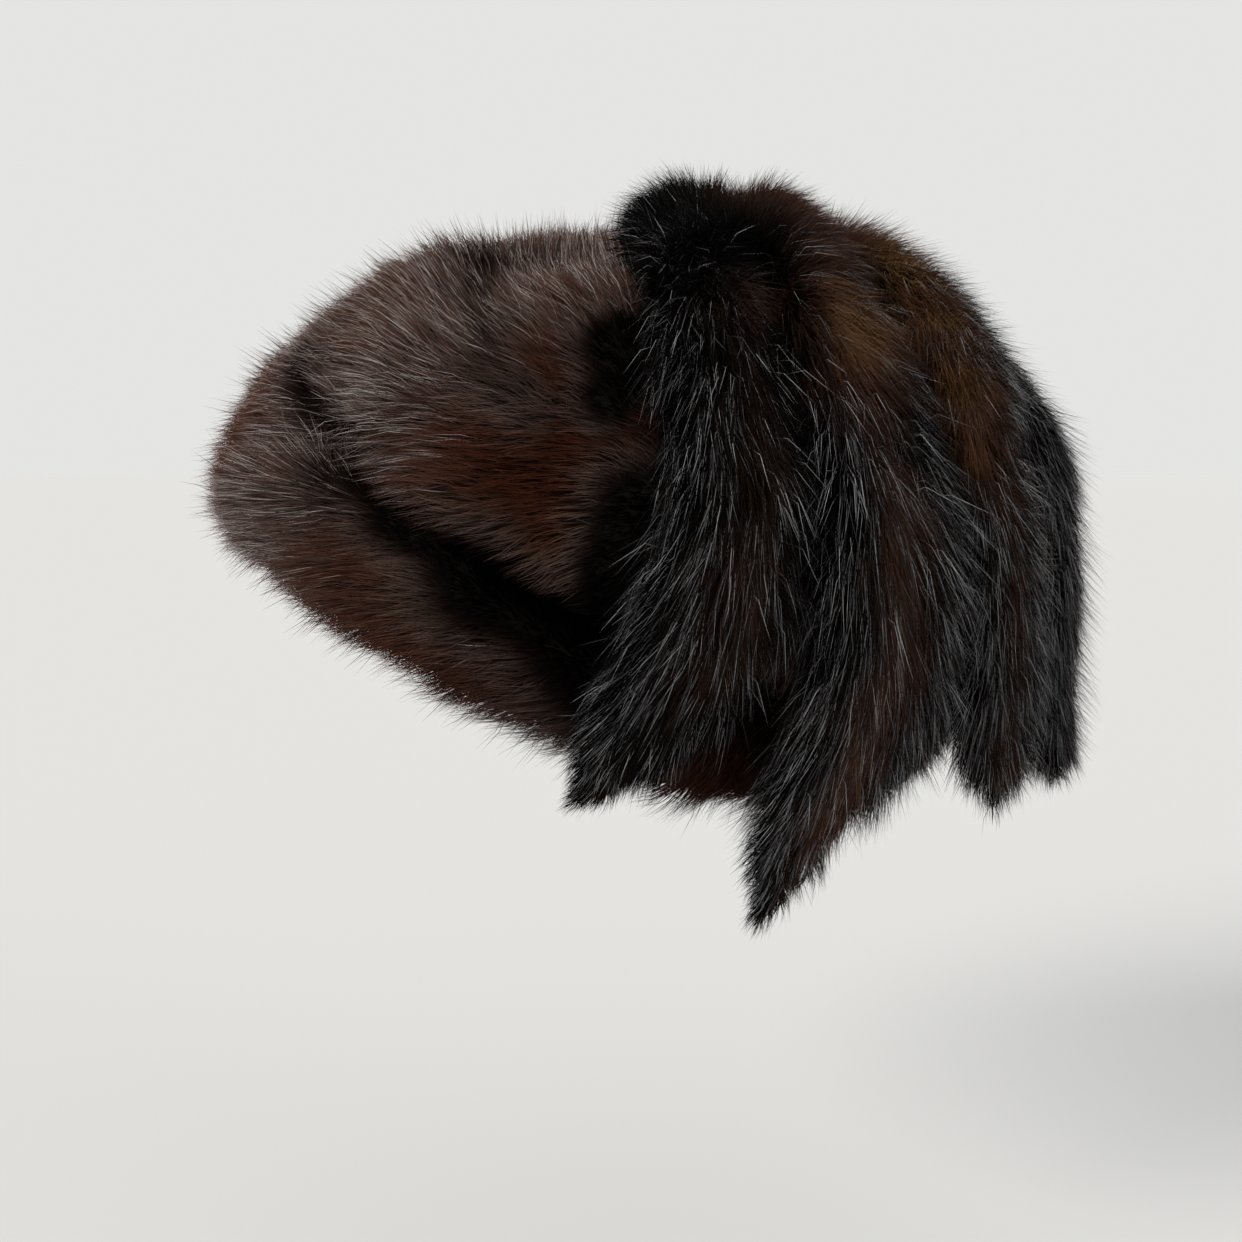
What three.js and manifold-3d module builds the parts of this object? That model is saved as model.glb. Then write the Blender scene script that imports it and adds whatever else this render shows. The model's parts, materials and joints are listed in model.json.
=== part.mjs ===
// A fur hat: a puffed and draped crown, a padded roll round the head opening and four hanging tails.
// Millimetres, +Z up. The hat is modelled level: x runs from front to back, y across, z up, and the origin
// is the middle of the head opening. The group then tilts it as it is worn.
import * as THREE from 'three';
import { mergeVertices } from 'three/addons/utils/BufferGeometryUtils.js';
import Module from 'manifold-3d';

const wasm = await Module();
wasm.setup();

// Driving sizes
const OPENING = { halfLength: 95, halfWidth: 80 };
const WORN_TILT = { tailsDown: 20, viewedSideDown: 12 };
const CROWN_WALL = 14;
const HOLLOW_SKIRT = 40;
const GAP = 0.3;

// The crown's outline at rising heights: how far it reaches from the origin on each side
const CROWN_SECTIONS = [
  { z: 20, front: 138, back: 136, near: 104, far: 104 },
  { z: 34, front: 149, back: 147, near: 116, far: 114 },
  { z: 50, front: 154, back: 155, near: 125, far: 122 },
  { z: 70, front: 147, back: 159, near: 129, far: 126 },
  { z: 94, front: 128, back: 154, near: 124, far: 122 },
  { z: 117, front: 102, back: 141, near: 113, far: 110 },
  { z: 138, front: 75, back: 122, near: 95, far: 93 },
  { z: 153, front: 44, back: 102, near: 74, far: 73 },
  { z: 163, front: 9, back: 81, near: 50, far: 50 },
  { z: 168, front: -18, back: 62, near: 25, far: 25 },
  { z: 169.5, front: -40, back: 40, near: 0, far: 0 },
];
const SECTION_POWER = 2.15;

// The padded roll round the opening: its lower and upper edge at each angle, counted from the back (+x),
// and how far the crown draws in just above it
const ROLL_OUTLINE = { front: 152, back: 150, near: 124, far: 122 };
const ROLL_HEIGHTS = [
  { angle: 0, bottom: 0, top: 42, tuck: 8 },
  { angle: 60, bottom: -2, top: 45, tuck: 8 },
  { angle: 120, bottom: 0, top: 46, tuck: 8 },
  { angle: 160, bottom: 4, top: 36, tuck: 6 },
  { angle: 182, bottom: 4, top: 28, tuck: 5 },
  { angle: 200, bottom: 8, top: 42, tuck: 6 },
  { angle: 216, bottom: 12, top: 54, tuck: 9 },
  { angle: 232, bottom: 10, top: 65, tuck: 12 },
  { angle: 248, bottom: 4, top: 55, tuck: 16 },
  { angle: 262, bottom: -3, top: 44, tuck: 21 },
  { angle: 275, bottom: -4, top: 36, tuck: 22 },
  { angle: 310, bottom: -4, top: 38, tuck: 12 },
  { angle: 360, bottom: 0, top: 42, tuck: 8 },
];
const TUCK = { halfHeight: 15, belowRollTop: 4 };
const ROLL_POWER = 2.5;

// Draped folds in the crown: a valley of this depth and half width along a bent line over the crown,
// whose start, middle and end are each an angle and a section number. A negative depth is a swell.
const FOLDS = [
  { angles: [203, 222, 231], levels: [4.0, 3.5, 2.9], depth: 13, width: 9 },
  { angles: [208, 228, 252], levels: [5.9, 5.1, 4.4], depth: 7, width: 12 },
  { angles: [248, 256, 264], levels: [5.7, 5.4, 5.1], depth: 11, width: 11 },
  { angles: [246, 257, 268], levels: [4.2, 4.4, 4.8], depth: -5, width: 9 },
  { angles: [60, 78, 96], levels: [6.2, 4.6, 2.8], depth: 7, width: 13 },
  { angles: [128, 122, 120], levels: [6.4, 4.8, 3.0], depth: 7, width: 13 },
];

// The tails: the middle of each at rising distance from its root, with its width and thickness there
const TAILS = {
  tail_1: [
    { x: -12, y: 18, z: 162, width: 22, thick: 14 },
    { x: -13, y: -10, z: 168, width: 44, thick: 27 },
    { x: -8, y: -48, z: 164, width: 52, thick: 28 },
    { x: 3, y: -88, z: 151, width: 50, thick: 27 },
    { x: 20, y: -115, z: 129, width: 51, thick: 26 },
    { x: 32, y: -130, z: 100, width: 54, thick: 26 },
    { x: 36, y: -136, z: 68, width: 53, thick: 25 },
    { x: 34, y: -135, z: 38, width: 44, thick: 23 },
    { x: 27, y: -134, z: 12, width: 29, thick: 17 },
    { x: 18, y: -133, z: -12, width: 6, thick: 5 },
  ],
  tail_2: [
    { x: 14, y: 20, z: 165, width: 22, thick: 14 },
    { x: 14, y: -6, z: 172, width: 42, thick: 27 },
    { x: 23, y: -50, z: 167, width: 52, thick: 28 },
    { x: 42, y: -86, z: 154, width: 57, thick: 28 },
    { x: 67, y: -109, z: 128, width: 62, thick: 27 },
    { x: 83, y: -118, z: 103, width: 66, thick: 27 },
    { x: 94, y: -120, z: 72, width: 64, thick: 26 },
    { x: 98, y: -118, z: 44, width: 58, thick: 25 },
    { x: 97, y: -118, z: 16, width: 41, thick: 21 },
    { x: 93, y: -122, z: -9, width: 25, thick: 16 },
    { x: 88, y: -126, z: -32, width: 6, thick: 5 },
  ],
  tail_3: [
    { x: 36, y: 24, z: 166, width: 22, thick: 14 },
    { x: 48, y: 2, z: 172, width: 40, thick: 26 },
    { x: 70, y: -24, z: 170, width: 48, thick: 27 },
    { x: 88, y: -54, z: 158, width: 52, thick: 27 },
    { x: 101, y: -81, z: 137, width: 52, thick: 26 },
    { x: 115, y: -92, z: 112, width: 50, thick: 25 },
    { x: 130, y: -90, z: 84, width: 48, thick: 24 },
    { x: 142, y: -84, z: 60, width: 43, thick: 23 },
    { x: 154, y: -86, z: 41, width: 31, thick: 17 },
    { x: 166, y: -87, z: 24, width: 6, thick: 5 },
  ],
  tail_4: [
    { x: 46, y: 42, z: 162, width: 22, thick: 14 },
    { x: 64, y: 34, z: 167, width: 40, thick: 26 },
    { x: 98, y: 24, z: 159, width: 48, thick: 28 },
    { x: 131, y: 12, z: 138, width: 52, thick: 27 },
    { x: 153, y: 4, z: 111, width: 54, thick: 27 },
    { x: 164, y: -2, z: 83, width: 52, thick: 26 },
    { x: 173, y: -6, z: 57, width: 46, thick: 23 },
    { x: 183, y: -11, z: 36, width: 33, thick: 18 },
    { x: 192, y: -15, z: 19, width: 6, thick: 5 },
  ],
};
const TAIL_BED = { x: 5, y: 0, z: 40, halfLength: 155, halfWidth: 125, height: 125 };

// Locks of fur: pointed tufts that lean out of the pelt. The shape's points are a share of the half width
// and of the length, counted from the root.
const LOCK_SHAPE = [[0, -0.25], [1, 0.3], [0, 1]];
const LOCK_SIDES = 4;
const LOCK_ROOT_DEPTH = 3;
const CROWN_LOCKS = { length: 38, width: 25, thick: 9, lean: 0.03 };
const CROWN_LOCK_ROWS = { first: 1.7, last: 8.6, step: 1.05, spacing: 52 };
const ROLL_LOCKS = { length: 28, width: 22, thick: 9, lean: 0 };
const ROLL_LOCK_ROWS = { turns: [0.11, -0.1], count: 20 };
const TAIL_LOCKS = { length: 46, width: 22, thick: 11, lean: 0.03 };
const TAIL_LOCK_ROWS = { spacing: 35, splay: 0.36, apart: 0.3, height: 0.38, drop: 0.16, turnOut: 0.5 };
const FULL_TAIL_WIDTH = 52;

// The crown's fur points away from this place, and the roll's fur points one way
const CROWN_FUR_SOURCE = new THREE.Vector3(10, -105, 125);
const ROLL_FUR_FLOW = new THREE.Vector3(-1, 0, -0.5);

// No lock lies this close to a tail or to the roll, and locks are smaller round the tight front bend
const TAIL_CLEARANCE = 12;
const ROLL_CLEARANCE = 2;
const FRONT_BEND = { from: 85, fade: 110, least: 0.5 };

const CROWN_STEPS = { round: 52, up: 18 };
const HOLLOW_STEPS = { round: 24, up: 8 };
const CROWN_RING_SPREAD = 1.25;
const ROLL_STEPS = { round: 44, section: 9 };
const TAIL_STEPS = { along: 14, round: 9 };
const FOLD_STEPS = 14;
const TAIL_SAMPLES = 40;
const MERGE_DISTANCE = 1e-4;

const FUR_COLOURS = {
  brim_roll: 0x3a271f,
  crown: 0x3d2a23,
  tail_1: 0x1f1a17,
  tail_2: 0x241c18,
  tail_3: 0x2a211a,
  tail_4: 0x211a17,
};
const FUR_ROUGHNESS = 0.75;

const FULL_TURN = 2 * Math.PI;
const radians = THREE.MathUtils.degToRad;

// A smooth curve through the values of one column, at a place between rows
function between(rows, key, place) {
  const last = rows.length - 1;
  const row = Math.min(Math.floor(place), last - 1);
  const part = place - row;
  const value = (k) => rows[Math.min(Math.max(k, 0), last)][key];
  const [a, b, c, d] = [value(row - 1), value(row), value(row + 1), value(row + 2)];
  const pull = (2 * a - 5 * b + 4 * c - d + (3 * (b - c) + d - a) * part) * part;
  return b + 0.5 * part * (c - a + pull);
}

// The place between rows at which a rising column reaches a value
function placeOf(rows, key, value) {
  const next = rows.findIndex((row, k) => k > 0 && row[key] >= value);
  return next - (rows[next][key] - value) / (rows[next][key] - rows[next - 1][key]);
}

const rounded = (value, power) => Math.sign(value) * Math.abs(value) ** (2 / power);

function outlinePoint(reach, angle, z) {
  const halfLength = (reach.back + reach.front) / 2;
  const halfWidth = (reach.far + reach.near) / 2;
  return new THREE.Vector3(
    (reach.back - reach.front) / 2 + halfLength * rounded(Math.cos(angle), SECTION_POWER),
    (reach.far - reach.near) / 2 + halfWidth * rounded(Math.sin(angle), SECTION_POWER),
    z,
  );
}

function crownPoint(angle, level) {
  const reach = {};
  for (const key of ['front', 'back', 'near', 'far', 'z']) {
    reach[key] = between(CROWN_SECTIONS, key, level);
  }
  return outlinePoint(reach, angle, reach.z);
}

const CROWN_TOP = CROWN_SECTIONS.length - 1;

function crownNormal(angle, level) {
  const step = 0.05;
  const inside = Math.min(level, CROWN_TOP - 2 * step);
  const along = crownPoint(angle + step, inside).sub(crownPoint(angle - step, inside));
  const up = crownPoint(angle, inside + step).sub(crownPoint(angle, Math.max(inside - step, 0)));
  return along.cross(up).normalize();
}

function rollAt(angle) {
  const degrees = THREE.MathUtils.euclideanModulo(THREE.MathUtils.radToDeg(angle), 360);
  const place = placeOf(ROLL_HEIGHTS, 'angle', degrees);
  return {
    bottom: between(ROLL_HEIGHTS, 'bottom', place),
    top: between(ROLL_HEIGHTS, 'top', place),
    tuck: between(ROLL_HEIGHTS, 'tuck', place),
  };
}

// Points along each fold's bent line, on the plain crown
const FOLD_LINES = FOLDS.map(({ angles, levels, depth, width }) => {
  const bend = ([from, via, to], t) => (1 - t) ** 2 * from + 2 * t * (1 - t) * via + t ** 2 * to;
  const points = [];
  for (let i = 0; i <= FOLD_STEPS; i += 1) {
    points.push(crownPoint(radians(bend(angles, i / FOLD_STEPS)), bend(levels, i / FOLD_STEPS)));
  }
  return { points, depth, width };
});

// How far the draped crown lies below its plain outline
function drapeDepth(angle, point) {
  const { top, tuck } = rollAt(angle);
  let depth = tuck * Math.exp(-(((point.z - top + TUCK.belowRollTop) / TUCK.halfHeight) ** 2));
  for (const fold of FOLD_LINES) {
    const distance = Math.min(...fold.points.map((p) => p.distanceTo(point)));
    depth += fold.depth * Math.exp(-((distance / fold.width) ** 2));
  }
  return depth;
}

function drapedPoint(angle, level, offset) {
  const point = crownPoint(angle, level);
  const depth = drapeDepth(angle, point);
  return point.addScaledVector(crownNormal(angle, level), offset - depth);
}

// A closed surface over rings of equal length, its ends closed by fans, or joined end to end
function loft(rings, looped = false) {
  const size = rings[0].length;
  const positions = rings.flat().flatMap((p) => [p.x, p.y, p.z]);
  const faces = [];
  const bands = looped ? rings.length : rings.length - 1;
  for (let i = 0; i < bands; i += 1) {
    const next = (i + 1) % rings.length;
    for (let j = 0; j < size; j += 1) {
      const k = (j + 1) % size;
      const [a, b, c, d] = [i * size + j, i * size + k, next * size + k, next * size + j];
      faces.push(a, b, c, a, c, d);
    }
  }
  if (!looped) {
    for (const [ring, flip] of [[0, true], [rings.length - 1, false]]) {
      const middle = rings[ring].reduce((sum, p) => sum.add(p), new THREE.Vector3()).divideScalar(size);
      const centre = positions.length / 3;
      positions.push(middle.x, middle.y, middle.z);
      for (let j = 0; j < size; j += 1) {
        const pair = [ring * size + j, ring * size + ((j + 1) % size)];
        faces.push(centre, ...(flip ? pair.reverse() : pair));
      }
    }
  }
  const geometry = new THREE.BufferGeometry();
  geometry.setAttribute('position', new THREE.Float32BufferAttribute(positions, 3));
  geometry.setIndex(faces);
  return geometry;
}

function toSolid(geometry) {
  const bare = geometry.clone();
  bare.deleteAttribute('normal');
  bare.deleteAttribute('uv');
  const merged = mergeVertices(bare, MERGE_DISTANCE);
  return new wasm.Manifold(new wasm.Mesh({
    numProp: 3,
    vertProperties: merged.attributes.position.array,
    triVerts: new Uint32Array(merged.index.array),
  }));
}

function toGeometry(solid) {
  const mesh = solid.getMesh();
  const geometry = new THREE.BufferGeometry();
  geometry.setAttribute('position', new THREE.BufferAttribute(mesh.vertProperties, 3));
  geometry.setIndex(new THREE.BufferAttribute(mesh.triVerts, 1));
  geometry.computeVertexNormals();
  return geometry;
}

// The crown's skin, moved out or in along its normals, and closed below by a straight skirt of this depth
function crownSkin(steps, offset, skirt = 0) {
  const rings = [];
  for (let i = 0; i < steps.up; i += 1) {
    const level = CROWN_TOP * (i / steps.up) ** CROWN_RING_SPREAD;
    const ring = [];
    for (let j = 0; j < steps.round; j += 1) {
      ring.push(drapedPoint((FULL_TURN * j) / steps.round, level, offset));
    }
    rings.push(ring);
  }
  if (skirt > 0) {
    rings.unshift(rings[0].map((point) => point.clone().setZ(point.z - skirt)));
  }
  return toSolid(loft(rings));
}

// A point of the roll's skin, at a share of a turn round its section from the outermost line
function rollPoint(angle, sectionTurn, offset) {
  const { bottom, top } = rollAt(angle);
  const outer = outlinePoint(ROLL_OUTLINE, angle, 0);
  const inner = new THREE.Vector3(
    OPENING.halfLength * Math.cos(angle),
    OPENING.halfWidth * Math.sin(angle),
    0,
  );
  const outward = outer.clone().sub(inner).normalize();
  outer.addScaledVector(outward, offset);
  inner.addScaledVector(outward, -offset);
  const across = rounded(Math.cos(FULL_TURN * sectionTurn), ROLL_POWER);
  const height = rounded(Math.sin(FULL_TURN * sectionTurn), ROLL_POWER);
  const point = inner.lerp(outer, 0.5 + 0.5 * across);
  point.z = (top + bottom) / 2 + ((top - bottom) / 2 + offset) * height;
  return point;
}

function rollSkin(offset) {
  const rings = [];
  for (let i = 0; i < ROLL_STEPS.round; i += 1) {
    const ring = [];
    for (let j = 0; j < ROLL_STEPS.section; j += 1) {
      ring.push(rollPoint((FULL_TURN * i) / ROLL_STEPS.round, -j / ROLL_STEPS.section, offset));
    }
    rings.push(ring);
  }
  return toSolid(loft(rings, true));
}

// One lock, rooted at a point of the pelt and pointing along it
function lock(root, direction, normal, size, scale, grow) {
  const shape = new THREE.LatheGeometry(LOCK_SHAPE.map((p) => new THREE.Vector2(...p)), LOCK_SIDES);
  const along = direction.clone().addScaledVector(normal, size.lean).normalize();
  const side = along.clone().cross(normal).normalize();
  const up = side.clone().cross(along);
  side.multiplyScalar((size.width * scale) / 2 + grow);
  along.multiplyScalar(size.length * scale + 2 * grow);
  up.multiplyScalar((size.thick * scale) / 2 + grow);
  const frame = new THREE.Matrix4().makeBasis(side, along, up).setPosition(root);
  return toSolid(shape.applyMatrix4(frame));
}

const flatten = (vector, normal) => vector.clone().projectOnPlane(normal).normalize();

function tailPath(rows) {
  return new THREE.CatmullRomCurve3(rows.map(({ x, y, z }) => new THREE.Vector3(x, y, z)));
}

// The tail's middle, directions and size at a share of its path; up points away from the crown below
function tailFrame(rows, path, t) {
  const middle = path.getPoint(t);
  const along = path.getTangent(t);
  const away = new THREE.Vector3(
    (middle.x - TAIL_BED.x) / TAIL_BED.halfLength ** 2,
    (middle.y - TAIL_BED.y) / TAIL_BED.halfWidth ** 2,
    Math.max(middle.z - TAIL_BED.z, 0) / TAIL_BED.height ** 2,
  );
  const up = flatten(away, along);
  const side = up.clone().cross(along);
  const place = t * (rows.length - 1);
  const width = between(rows, 'width', place);
  const thick = between(rows, 'thick', place);
  return { middle, along, up, side, width, thick };
}

// Whether a point of the pelt lies under one of the tails
function underTail(point) {
  return Object.values(TAILS).some((rows) => {
    const path = tailPath(rows);
    for (let i = 0; i <= TAIL_SAMPLES; i += 1) {
      const { middle, width } = tailFrame(rows, path, i / TAIL_SAMPLES);
      if (middle.distanceTo(point) < width / 2 + TAIL_CLEARANCE) {
        return true;
      }
    }
    return false;
  });
}

function frontBendScale(root) {
  const scale = 1 + (root.x + FRONT_BEND.from) / FRONT_BEND.fade;
  return THREE.MathUtils.clamp(scale, FRONT_BEND.least, 1);
}

function crownLocks(grow) {
  const locks = [];
  const { first, last, step, spacing } = CROWN_LOCK_ROWS;
  for (let level = first, row = 0; level < last; level += step, row += 1) {
    const girth = Math.PI * (crownPoint(0, level).x - crownPoint(Math.PI, level).x);
    const count = Math.round(girth / spacing);
    for (let i = 0; i < count; i += 1) {
      const angle = (FULL_TURN * (i + 0.5 * (row % 2))) / count;
      const normal = crownNormal(angle, level);
      const root = drapedPoint(angle, level, -LOCK_ROOT_DEPTH);
      const flow = flatten(root.clone().sub(CROWN_FUR_SOURCE), normal);
      const tip = root.clone().addScaledVector(flow, CROWN_LOCKS.length);
      const clearOfRoll = tip.z > rollAt(Math.atan2(tip.y, tip.x)).top + ROLL_CLEARANCE;
      if (clearOfRoll && !underTail(root) && !underTail(tip)) {
        locks.push(lock(root, flow, normal, CROWN_LOCKS, frontBendScale(root), grow));
      }
    }
  }
  return locks;
}

function rollLocks(grow) {
  const locks = [];
  ROLL_LOCK_ROWS.turns.forEach((sectionTurn, row) => {
    for (let i = 0; i < ROLL_LOCK_ROWS.count; i += 1) {
      const angle = (FULL_TURN * (i + 0.5 * row)) / ROLL_LOCK_ROWS.count;
      const root = rollPoint(angle, sectionTurn, -LOCK_ROOT_DEPTH);
      const normal = rollPoint(angle, sectionTurn, 0).sub(root).normalize();
      const flow = flatten(ROLL_FUR_FLOW, normal);
      const tip = root.clone().addScaledVector(flow, ROLL_LOCKS.length);
      if (!underTail(root) && !underTail(tip)) {
        locks.push(lock(root, flow, normal, ROLL_LOCKS, frontBendScale(root), grow));
      }
    }
  });
  return locks;
}

function tailBody(rows, grow) {
  const path = tailPath(rows);
  const rings = [];
  for (let i = 0; i <= TAIL_STEPS.along; i += 1) {
    const { middle, up, side, width, thick } = tailFrame(rows, path, i / TAIL_STEPS.along);
    const ring = [];
    for (let j = 0; j < TAIL_STEPS.round; j += 1) {
      const turnedBy = (FULL_TURN * j) / TAIL_STEPS.round;
      ring.push(
        middle
          .clone()
          .addScaledVector(side, (width / 2 + grow) * Math.cos(turnedBy))
          .addScaledVector(up, (thick / 2 + grow) * Math.sin(turnedBy)),
      );
    }
    rings.push(ring);
  }
  return toSolid(loft(rings));
}

// The tail's locks leave its middle line for both sides, like a herringbone
function tailLocks(rows, grow) {
  const { spacing, splay, apart, height, drop, turnOut } = TAIL_LOCK_ROWS;
  const path = tailPath(rows);
  const count = Math.round(path.getLength() / spacing);
  const locks = [];
  for (let i = 1; i < count; i += 1) {
    for (const hand of [-1, 0, 1]) {
      const t = (i + 0.5 * Math.abs(hand)) / (count + 0.5);
      const { middle, along, up, side, width, thick } = tailFrame(rows, path, t);
      const root = middle
        .addScaledVector(side, apart * width * hand)
        .addScaledVector(up, (height - drop * Math.abs(hand)) * thick);
      const flow = along.addScaledVector(side, splay * hand).normalize();
      const normal = flatten(up.clone().addScaledVector(side, turnOut * hand), flow);
      const scale = Math.min(1, width / FULL_TAIL_WIDTH);
      locks.push(lock(root, flow, normal, TAIL_LOCKS, scale, grow));
    }
  }
  return locks;
}

const join = (solids) => wasm.Manifold.union(solids);

// The biggest of the bodies that a cut leaves
function biggest(solid) {
  return solid.decompose().sort((a, b) => b.volume() - a.volume())[0];
}

const hat = new THREE.Group();
hat.rotation.set(radians(WORN_TILT.viewedSideDown), radians(WORN_TILT.tailsDown), 0, 'YXZ');

function addPiece(name, solid) {
  const colour = FUR_COLOURS[name];
  const fur = new THREE.MeshStandardMaterial({ color: colour, roughness: FUR_ROUGHNESS, metalness: 0 });
  const mesh = new THREE.Mesh(toGeometry(solid), fur);
  mesh.name = name;
  hat.add(mesh);
}

const roll = (grow) => join([rollSkin(grow), ...rollLocks(grow)]);
const crown = (grow) => join([crownSkin(CROWN_STEPS, grow), ...crownLocks(grow)]);
const hollow = crownSkin(HOLLOW_STEPS, -CROWN_WALL, HOLLOW_SKIRT);

addPiece('brim_roll', roll(0));
addPiece('crown', biggest(crown(0).subtract(hollow).subtract(roll(GAP))));

let taken = join([crown(GAP), roll(GAP)]);
for (const [name, rows] of Object.entries(TAILS)) {
  const tail = (grow) => join([tailBody(rows, grow), ...tailLocks(rows, grow)]);
  addPiece(name, biggest(tail(0).subtract(taken)));
  taken = taken.add(tail(GAP));
}

export default hat;
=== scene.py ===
"""The fur hat's looks: soft pelts with a deep coat of modelled hairs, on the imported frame, in metres."""
import heapq
import json
import math

import bmesh
import bpy
import numpy as np
from mathutils import Euler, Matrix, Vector
from mathutils.kdtree import KDTree


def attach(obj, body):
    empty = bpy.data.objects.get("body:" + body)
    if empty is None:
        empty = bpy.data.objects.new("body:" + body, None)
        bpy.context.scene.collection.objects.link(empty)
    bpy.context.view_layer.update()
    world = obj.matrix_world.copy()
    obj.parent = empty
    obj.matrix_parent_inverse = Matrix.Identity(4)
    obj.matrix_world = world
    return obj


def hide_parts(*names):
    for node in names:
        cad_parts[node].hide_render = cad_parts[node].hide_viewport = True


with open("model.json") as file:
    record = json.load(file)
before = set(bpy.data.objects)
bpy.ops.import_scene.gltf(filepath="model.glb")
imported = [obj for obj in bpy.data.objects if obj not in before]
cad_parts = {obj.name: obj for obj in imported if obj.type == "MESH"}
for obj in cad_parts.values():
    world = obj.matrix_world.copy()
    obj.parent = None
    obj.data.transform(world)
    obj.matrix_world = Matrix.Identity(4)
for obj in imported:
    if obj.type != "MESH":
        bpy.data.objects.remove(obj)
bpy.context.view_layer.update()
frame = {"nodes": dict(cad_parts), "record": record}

MM = 0.001
TAILS = ("tail_1", "tail_2", "tail_3", "tail_4")
# Where the tails' roots meet, and the way up out of the head opening
TAILS_GATHER = (0.076, -0.010, 0.150)
HAT_UP = np.array(frame["record"]["mounts"][0]["axis"])

# The camera stands where the photograph was taken from, in front of the hat
CAMERA = {"place": (0.0204, -0.7166, 0.0704), "down": 5.0, "view_angle": 38.06}
BACKGROUND = (0.78, 0.782, 0.772)
# A round floor below the hat, in metres, and how dark its faint cloud is beside its own colour
FLOOR_Z = -0.25
FLOOR_REACH = 60
FLOOR_CORNERS = 48
FLOOR_COLOUR = (0.49, 0.488, 0.483)
FLOOR_CLOUD = 0.985

# Soft, far lamps: the direction each shines from, how wide it looks in degrees, and its strength
LAMPS = {
    "key": {"from": (-2.2, -1.9, 1.7), "wide": 24, "strength": 3.1, "colour": (1, 0.98, 0.95)},
    "fill": {"from": (2.3, -1.5, 0.9), "wide": 36, "strength": 0.7, "colour": (0.95, 0.97, 1)},
    "rim": {"from": (0.6, 2.3, 1.5), "wide": 30, "strength": 1.6, "colour": (1, 1, 1)},
}

# Pelts: the fineness of their even mesh, in mm, how often it is smoothed, and how far the skin of the
# crown and the roll lies below the top of the fur, in mm. A tail's skin is a core round its middle
# line: its thickness at the root and past it, its length, and what it loses at the tip, all as shares
# of the tail's own.
PELTS = {
    "crown": {"voxel": 4.5, "smooth": 4, "inset": 6.5},
    "brim_roll": {"voxel": 4.5, "smooth": 6, "inset": 6.5},
    "tail": {"voxel": 3.5, "smooth": 6, "core": (0.72, 0.5), "root_end": 0.3, "length": 0.9,
             "tip_start": 0.8, "taper": 0.2},
}
# Outward is away from the hat's upright middle, and up on its top by this share. How sharply the outer
# side ends, and how far outward a face turns, from 0 to 1, where the skin is the inside's and where
# hair grows on it.
OUTWARD = {"top": 0.6, "sharpness": 1.6}
INSIDE_BELOW = 0.4
HAIR_ABOVE = 0.55

# Layers of hair, from underfur to the glints on top, which shine by their gloss and by the painted glint
# of their pale hairs. Length and width are in mm, and lift is the angle off the pelt at root and tip, in
# degrees. Scatter is how far a hair leaves its neighbours' way, tuft is how many hairs gather and gather
# is how far, and stray is the share that stands up. Pale is the share of pale hairs, partly grey in the
# fur and partly painted glints.
LAYERS = {
    "crown": [
        {"count": 32000, "length": 13, "width": 0.95, "lift": (42, 42), "scatter": 0.3, "tuft": 12,
         "gather": 0.3, "steps": 1, "stray": 0.0, "pale": 0.0, "pale_tones": (0.8, 0.85), "droop": 0.0},
        {"count": 42000, "length": 20, "width": 0.28, "lift": (46, 20), "scatter": 0.13, "tuft": 12,
         "gather": 0.4, "steps": 2, "stray": 0.12, "pale": 0.16, "pale_tones": (0.8, 0.88), "droop": 0.05},
        {"count": 10000, "length": 21, "width": 0.18, "lift": (45, 20), "scatter": 0.11, "tuft": 6,
         "gather": 0.2, "steps": 2, "stray": 0.1, "pale": 0.65, "pale_tones": (0.84, 1.0), "droop": 0.05},
    ],
    "brim_roll": [
        {"count": 26000, "length": 13, "width": 0.95, "lift": (42, 42), "scatter": 0.3, "tuft": 12,
         "gather": 0.3, "steps": 1, "stray": 0.0, "pale": 0.0, "pale_tones": (0.8, 0.85), "droop": 0.0},
        {"count": 33000, "length": 20, "width": 0.28, "lift": (46, 22), "scatter": 0.13, "tuft": 12,
         "gather": 0.4, "steps": 2, "stray": 0.12, "pale": 0.16, "pale_tones": (0.8, 0.88), "droop": 0.08},
        {"count": 8000, "length": 21, "width": 0.18, "lift": (45, 22), "scatter": 0.11, "tuft": 6,
         "gather": 0.2, "steps": 2, "stray": 0.1, "pale": 0.6, "pale_tones": (0.84, 1.0), "droop": 0.08},
    ],
    "tail": [
        {"count": 22000, "length": 15, "width": 1.0, "lift": (44, 44), "scatter": 0.35, "tuft": 10,
         "gather": 0.3, "steps": 1, "stray": 0.0, "pale": 0.0, "pale_tones": (0.8, 0.85), "droop": 0.1},
        {"count": 21000, "length": 27, "width": 0.3, "lift": (44, 18), "scatter": 0.22, "tuft": 9,
         "gather": 0.35, "steps": 2, "stray": 0.1, "pale": 0.1, "pale_tones": (0.8, 0.88), "droop": 0.25},
        {"count": 16000, "length": 29, "width": 0.17, "lift": (44, 12), "scatter": 0.22, "tuft": 4,
         "gather": 0.25, "steps": 2, "stray": 0.1, "pale": 0.58, "pale_tones": (0.84, 1.0), "droop": 0.3},
    ],
}
# How hairs of a layer differ: in length, in their lift and the lift of those that stand up, in radians,
# and in how far they gather, which they do mostly towards the tip
LENGTH_SPREAD = (0.72, 1.12)
LIFT_SPREAD = 0.09
STANDING_LIFT = (0.3, 0.8)
GATHER_SPREAD = (0.5, 1.2)
GATHER_CURVE = 1.3
FEWEST_TUFTS = 8
# A hair is a tapered blade: how far it turns about its length, in radians, how much narrower it is near
# its tip and how wide it is at its root
BLADE = {"turn": 0.55, "taper": 0.45, "root_width": 0.7}

# How far a blade's strip of the UV map reaches to each side of its hair's tone
UV_HALF = 0.5 / 64
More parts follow.
